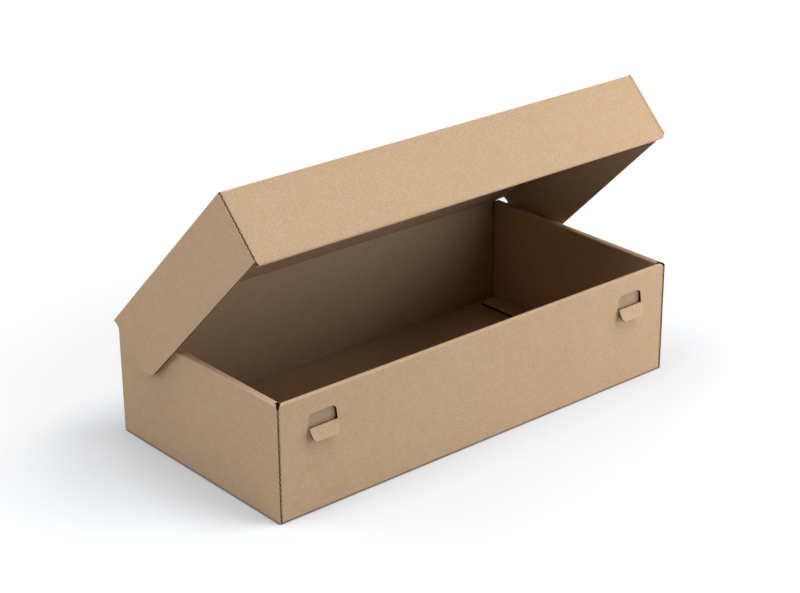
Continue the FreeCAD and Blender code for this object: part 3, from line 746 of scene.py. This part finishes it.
def make_lid():
    """The lid's top, its rolled front flap and its side flaps, built closed and swung open."""
    board = Board()
    lid = Matrix.Translation(hinge) @ Matrix.Rotation(
        math.radians(LID_OPEN), 4, Vector((-1, 0, 0)))
    # legs: top 0, front flap 1, its foot 2, rolled-in panel 3
    path = Path([
        (0, HALF), (LID_FRONT, HALF), (LID_FRONT, LID_FOOT), (LID_FRONT_INNER, LID_FOOT),
        (LID_FRONT_INNER, LID_CATCH)])
    depth = -LID_FRONT
    wall = LID_CORNER - BOARD
    edge = LID_SIDE - BOARD
    flap_low, flap_high = LID_FOOT + LID_CROWN, -HALF - LAYER_GAP
    inner = wall - END_GAP
    profile = [
        (0.0, edge, "raw"), (path.at(0, SETBACK), edge, "joined"),
        (path.at(0, depth - FOLD), edge, "joined"),
        (path.at(0, depth - FOLD), LID_CORNER, "raw"),
        (path.at(1, HALF - flap_high), LID_CORNER, "crushed"),
        (path.at(1, HALF - flap_high), wall, "joined"),
        (path.at(1, HALF - flap_low), wall, "raw")]
    profile += [(s, LID_CORNER - inset, "raw") for s, inset in rounded(
        path, path.at(1, HALF - flap_low), path.at(3, LID_CROWN), LID_ROUND,
        LID_FOOT + LID_ROUND, -1)]
    profile += [
        (path.at(3, LID_CROWN), inner, "raw"),
        (path.at(3, LID_CATCH - LID_FOOT), inner, "raw")]
    board.panel(path, moved(lid, along_x), [both_sides(profile, "crushed", "raw")])

    # legs: edge of the top 0, side flap 1; "front" stands for the front edge's kind
    side_path = Path([(edge, HALF), (LID_SIDE, HALF), (LID_SIDE, SIDE_FLAP_FOOT)], -1)
    foot = side_path.at(1, HALF - SIDE_FLAP_FOOT)
    outline = [
        (0.0, -SETBACK, "joined"), (0.0, LID_FRONT + FOLD, "raw"), (0.0, LID_FRONT, "front"),
        (foot, LID_FRONT, "raw")]
    heel_level = SIDE_FLAP_FOOT + HEEL_RISE
    low_angle = math.asin(HEEL_RISE / HEEL_RADIUS)
    for k in range(CURVE_STEPS + 1):
        turn = low_angle * (1 - k / CURVE_STEPS)
        outline.append((
            side_path.at(1, HALF - heel_level + HEEL_RADIUS * math.sin(turn)),
            -SETBACK - HEEL_RADIUS + HEEL_RADIUS * math.cos(turn), "raw"))
    radius = (NOTCH_HALF ** 2 + NOTCH_DEPTH ** 2) / (2 * NOTCH_DEPTH)
    centre = -SETBACK - NOTCH_DEPTH + radius
    levels = [(side_path.at(1, HALF - z), z) for z in (
        NOTCH_MIDDLE - NOTCH_HALF * math.cos(math.pi * k / CURVE_STEPS)
        for k in range(CURVE_STEPS)) if z < HALF - FOLD]
    levels += [(station[0], station[1].y) for station in reversed(side_path.stations)
               if HALF - FOLD - TINY < station[1].y < NOTCH_MIDDLE + NOTCH_HALF]
    for s, z in levels:
        outline.append((s, centre - math.sqrt(radius ** 2 - (z - NOTCH_MIDDLE) ** 2), "raw"))
    outline.append((min(levels[-1][0], side_path.lengths[2]), -SETBACK, "raw"))
    for side, front in ((1, "crushed"), (-1, "raw")):
        edges = [(s, t, front if kind == "front" else kind) for s, t, kind in outline]
        board.panel(side_path, moved(lid, along_y(side)), [edges], True, edge, side)
        corner_flap(board, moved(lid, along_z(side)), LID_CORNER, LID_FRONT, 1,
                    LID_CORNER_FLAP, flap_low, flap_high, side)
    board.finished("lid_board", "lid", "lid")


def make_tab(side):
    """A lock tab, built upright in its slot and folded out."""
    board = Board()
    path = Path()
    for face, level, crease in (
            (TAB_BEVEL, CUT_GAP, TAB_SCORED), (0, 2 * TAB_BEVEL, TAB_SCORED),
            (0, TAB_BAND, FLAT), (0, TAB_STEP, FLAT), (0, TAB_LENGTH, FLAT)):
        path.add(Vector((face, level)), Vector((BOARD, level)), crease)
    path.close()
    tip = path.lengths[-1]
    side_points = flared(
        TAB_WIDTH / 2, TAB_WIDTH / 2 - SLOT_FLARE * TAB_LENGTH / SLOT_HEIGHT, 0.0, tip,
        SLOT_ROUND - CUT_GAP)
    points = [(z, t, "raw") for z, t in side_points]
    place = Matrix.Translation(tab_place[side]) @ Matrix.Rotation(
        math.radians(TAB_FOLD), 4, Vector((1, 0, 0)))
    board.panel(path, moved(place, along_x), [both_sides(points, "crushed", "raw")],
                phase=tab_place[side].x)
    board.finished(f"{side}_tab_board", f"{side}_lock_tab", f"{side}_lock_tab",
                   (outer_liner, outer_liner))


def make_strip(name, pivot, stations, half_width, middle):
    """A strip of liner across a crease, turning from one body to the other.

    stations are its two faces, in the plane across the crease, from the pivot.
    """
    board = Board()
    path = Path()
    centre = Vector((pivot.y, pivot.z))
    for outer, inner in stations:
        path.add(centre + outer, centre + inner, BENT)
    path.close()
    length = path.lengths[-1]
    board.panel(path, along_x, [[
        (0.0, middle - half_width, "crushed"), (length, middle - half_width, "crushed"),
        (length, middle + half_width, "crushed"), (0.0, middle + half_width, "crushed")]])
    obj = board.finished(name, faces=(outer_liner, outer_liner))
    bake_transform(obj)


def arc(start, end, turn, arm):
    """Stations that swing round the pivot from one point to another turned by an angle."""
    first, last = math.atan2(start[1], start[0]), math.atan2(end[1], end[0]) + turn
    near, far = math.hypot(*start), math.hypot(*end)
    if last > first + math.pi:
        first += 2 * math.pi
    stations = []
    for k in range(STRIP_STEPS + 1):
        share = k / STRIP_STEPS
        angle = first + (last - first) * share
        radius = far + (near - far) * (1 - share) ** 2
        ray = Vector((math.cos(angle), math.sin(angle)))
        stations.append((ray * radius, ray * (radius + arm)))
    return stations


def make_creases():
    """The liners that run over the hinge and under the foot of each lock tab."""
    wall_top = TOP - hinge.z
    half_width = CORNER - HINGE_INSET
    opened = math.radians(LID_OPEN)
    make_strip("hinge_crease_outside", hinge,
               arc((BOARD, wall_top), (0, HALF), -opened, -LINER), half_width, 0)
    make_strip("hinge_crease_inside", hinge,
               arc((0, wall_top), (0, -HALF), -opened, LINER), half_width, 0)
    turn = math.radians(TAB_FOLD)
    along = Vector((-math.sin(turn), math.cos(turn)))
    across = Vector((math.cos(turn), math.sin(turn)))
    for side in ("left", "right"):
        feet = [along * TAB_STRIP * k / FOLD_STEPS for k in range(FOLD_STEPS + 1)]
        make_strip(f"{side}_tab_crease", tab_place[side],
                   [(spot, spot + across * LINER) for spot in feet],
                   TAB_WIDTH / 2 - TAB_INSET, tab_place[side].x)


make_tray()
make_lid()
for side in ("left", "right"):
    make_tab(side)
make_creases()

# ------------------------------------------------------------- studio

CAMERA_PLACE = (-1.38354, -1.62083, 1.0493)
CAMERA_TURN = 40.481       # degrees from the Y axis towards X
CAMERA_DOWN = 23.34
CAMERA_ROLL = -0.39
CAMERA_LENS = 90.58
SENSOR = 36
LONGEST_VIEW = 100
TARGET = Vector((0, 0, 0.15))
SUN_ANGLE = math.radians(30)
PANEL_SIZE = 1.0
PANEL_DISTANCE = 1.7
LIGHT = 1.085              # all lamps together
ROOM_LIGHT = 0.02          # what the white backdrop itself gives

FLOOR_REACH = 30
FLOOR_DROP = 0.0002
FLOOR_BOUNCE = 0.66        # how bright the box sees the floor
# the floor's colour near the box and far out; the bluer near one is painted shade
FLOOR_NEAR = (0.722, 0.762, 0.81, 1)
FLOOR_FAR = (0.745, 0.752, 0.76, 1)
FLOOR_SQUASH = (0.5, 1.0, 1.0)  # the box is twice as long as deep
TINT_NEAR, TINT_FAR = 0.17, 0.30
GLOW_REACH = 3.0
GLOW = ((0.0, 0.05), (0.1, 0.055), (0.27, 0.26), (1.0, 0.6))
CONTACT_REACH = 0.0026     # how near to the box the painted contact shadow along its foot begins

# (direction from the front towards the right, height) in degrees, and how bright
SUNS = ((0, 90, 0.31), (45, 60, 0.374), (225, 60, 0.19), (270, 35, 0.10))
PANELS = ((60, 10, 0.365), (30, 10, 0.248), (270, 30, 0.168), (150, 30, 0.062))


def place_camera():
    data = bpy.data.cameras.new("camera")
    camera = bpy.data.objects.new("camera", data)
    bpy.context.scene.collection.objects.link(camera)
    camera.location = CAMERA_PLACE
    turn = (Matrix.Rotation(math.radians(-CAMERA_TURN), 4, "Z")
            @ Matrix.Rotation(math.radians(90 - CAMERA_DOWN), 4, "X")
            @ Matrix.Rotation(math.radians(CAMERA_ROLL), 4, "Z"))
    camera.rotation_euler = turn.to_euler()
    data.sensor_width = SENSOR
    data.lens = CAMERA_LENS
    data.clip_end = LONGEST_VIEW
    bpy.context.scene.camera = camera


def lamp(name, kind, azimuth, elevation, energy):
    data = bpy.data.lights.new(name, kind)
    data.energy = energy
    obj = bpy.data.objects.new(name, data)
    bpy.context.scene.collection.objects.link(obj)
    a, e = math.radians(azimuth), math.radians(elevation)
    towards = Vector((
        math.sin(a) * math.cos(e), -math.cos(a) * math.cos(e), math.sin(e)))
    obj.location = TARGET + towards * PANEL_DISTANCE
    obj.rotation_euler = towards.to_track_quat("Z", "Y").to_euler()
    obj.visible_camera = False
    return data


def light_studio():
    """Large soft sources: most of the light falls from above and from the front right."""
    for index, (azimuth, elevation, share) in enumerate(SUNS):
        sun = lamp(f"sky_{index}", "SUN", azimuth, elevation, math.pi * share * LIGHT)
        sun.angle = SUN_ANGLE
    for index, (azimuth, elevation, share) in enumerate(PANELS):
        energy = math.pi ** 2 * PANEL_DISTANCE ** 2 * share * LIGHT
        panel = lamp(f"panel_{index}", "AREA", azimuth, elevation, energy)
        panel.shape = "DISK"
        panel.size = PANEL_SIZE


def white_for_lens(tree, plain, seen):
    """Uses one shader for lighting and another where the lens sees the surface directly."""
    path = add(tree, "ShaderNodeLightPath").outputs
    direct = math_node(tree, "MAXIMUM", path["Is Camera Ray"], path["Is Transmission Ray"])
    direct = math_node(tree, "MAXIMUM", direct, path["Is Glossy Ray"])
    return add(tree, "ShaderNodeMixShader", None, {0: direct, 1: plain, 2: seen}).outputs[0]


def lay_floor():
    """A pale sheet that keeps the box's shadow and turns pure white away from it."""
    mesh = bpy.data.meshes.new("floor")
    corners = ((-1, -1), (1, -1), (1, 1), (-1, 1))
    mesh.from_pydata([(x * FLOOR_REACH, y * FLOOR_REACH, 0) for x, y in corners], [],
                     [(0, 1, 2, 3)])
    obj = bpy.data.objects.new("floor", mesh)
    bpy.context.scene.collection.objects.link(obj)
    obj.location.z = -FLOOR_DROP
    material, tree = new_material("studio_floor")
    bounce = add(tree, "ShaderNodeBsdfDiffuse", {"Color": (*[FLOOR_BOUNCE] * 3, 1)})

    # painted shade tint: bluer near the box's foot, neutral farther out
    spot = add(tree, "ShaderNodeNewGeometry").outputs["Position"]
    around = add(tree, "ShaderNodeVectorMath", {"operation": "MULTIPLY", 1: FLOOR_SQUASH},
                 {0: spot}).outputs[0]
    neutral = ramp(tree, length_of(tree, around), ((TINT_NEAR, 0.0), (TINT_FAR, 1.0)))
    tint = add(tree, "ShaderNodeMix", {"data_type": "RGBA", 6: FLOOR_NEAR, 7: FLOOR_FAR},
               {0: neutral}).outputs[2]
    pale = add(tree, "ShaderNodeBsdfDiffuse", None, {"Color": tint})
    far = math_node(tree, "DIVIDE", length_of(tree, spot), GLOW_REACH)
    glow = add(tree, "ShaderNodeEmission", None, {"Strength": ramp(tree, far, GLOW)})
    lit = add(tree, "ShaderNodeAddShader", None, {0: pale.outputs[0], 1: glow.outputs[0]})
    # painted contact shadow: dark only where the box all but touches it
    open_sky = add(tree, "ShaderNodeAmbientOcclusion", {"Distance": CONTACT_REACH}).outputs["AO"]
    seen = add(tree, "ShaderNodeMixShader", None, {0: open_sky, 2: lit.outputs[0]})
    add(tree, "ShaderNodeOutputMaterial", None,
        {"Surface": white_for_lens(tree, bounce.outputs[0], seen.outputs[0])})
    mesh.materials.append(material)


def hang_backdrop():
    """White behind everything; hardly any light of its own."""
    world = bpy.data.worlds.new("studio")
    bpy.context.scene.world = world
    world.use_nodes = True
    tree = world.node_tree
    tree.nodes.clear()
    dim = add(tree, "ShaderNodeBackground", {"Color": (1, 1, 1, 1), "Strength": ROOM_LIGHT})
    white = add(tree, "ShaderNodeBackground", {"Color": (1, 1, 1, 1), "Strength": 1.0})
    add(tree, "ShaderNodeOutputWorld", None,
        {"Surface": white_for_lens(tree, dim.outputs[0], white.outputs[0])})


place_camera()
light_studio()
lay_floor()
hang_backdrop()

bpy.context.scene.view_settings.view_transform = "Standard"
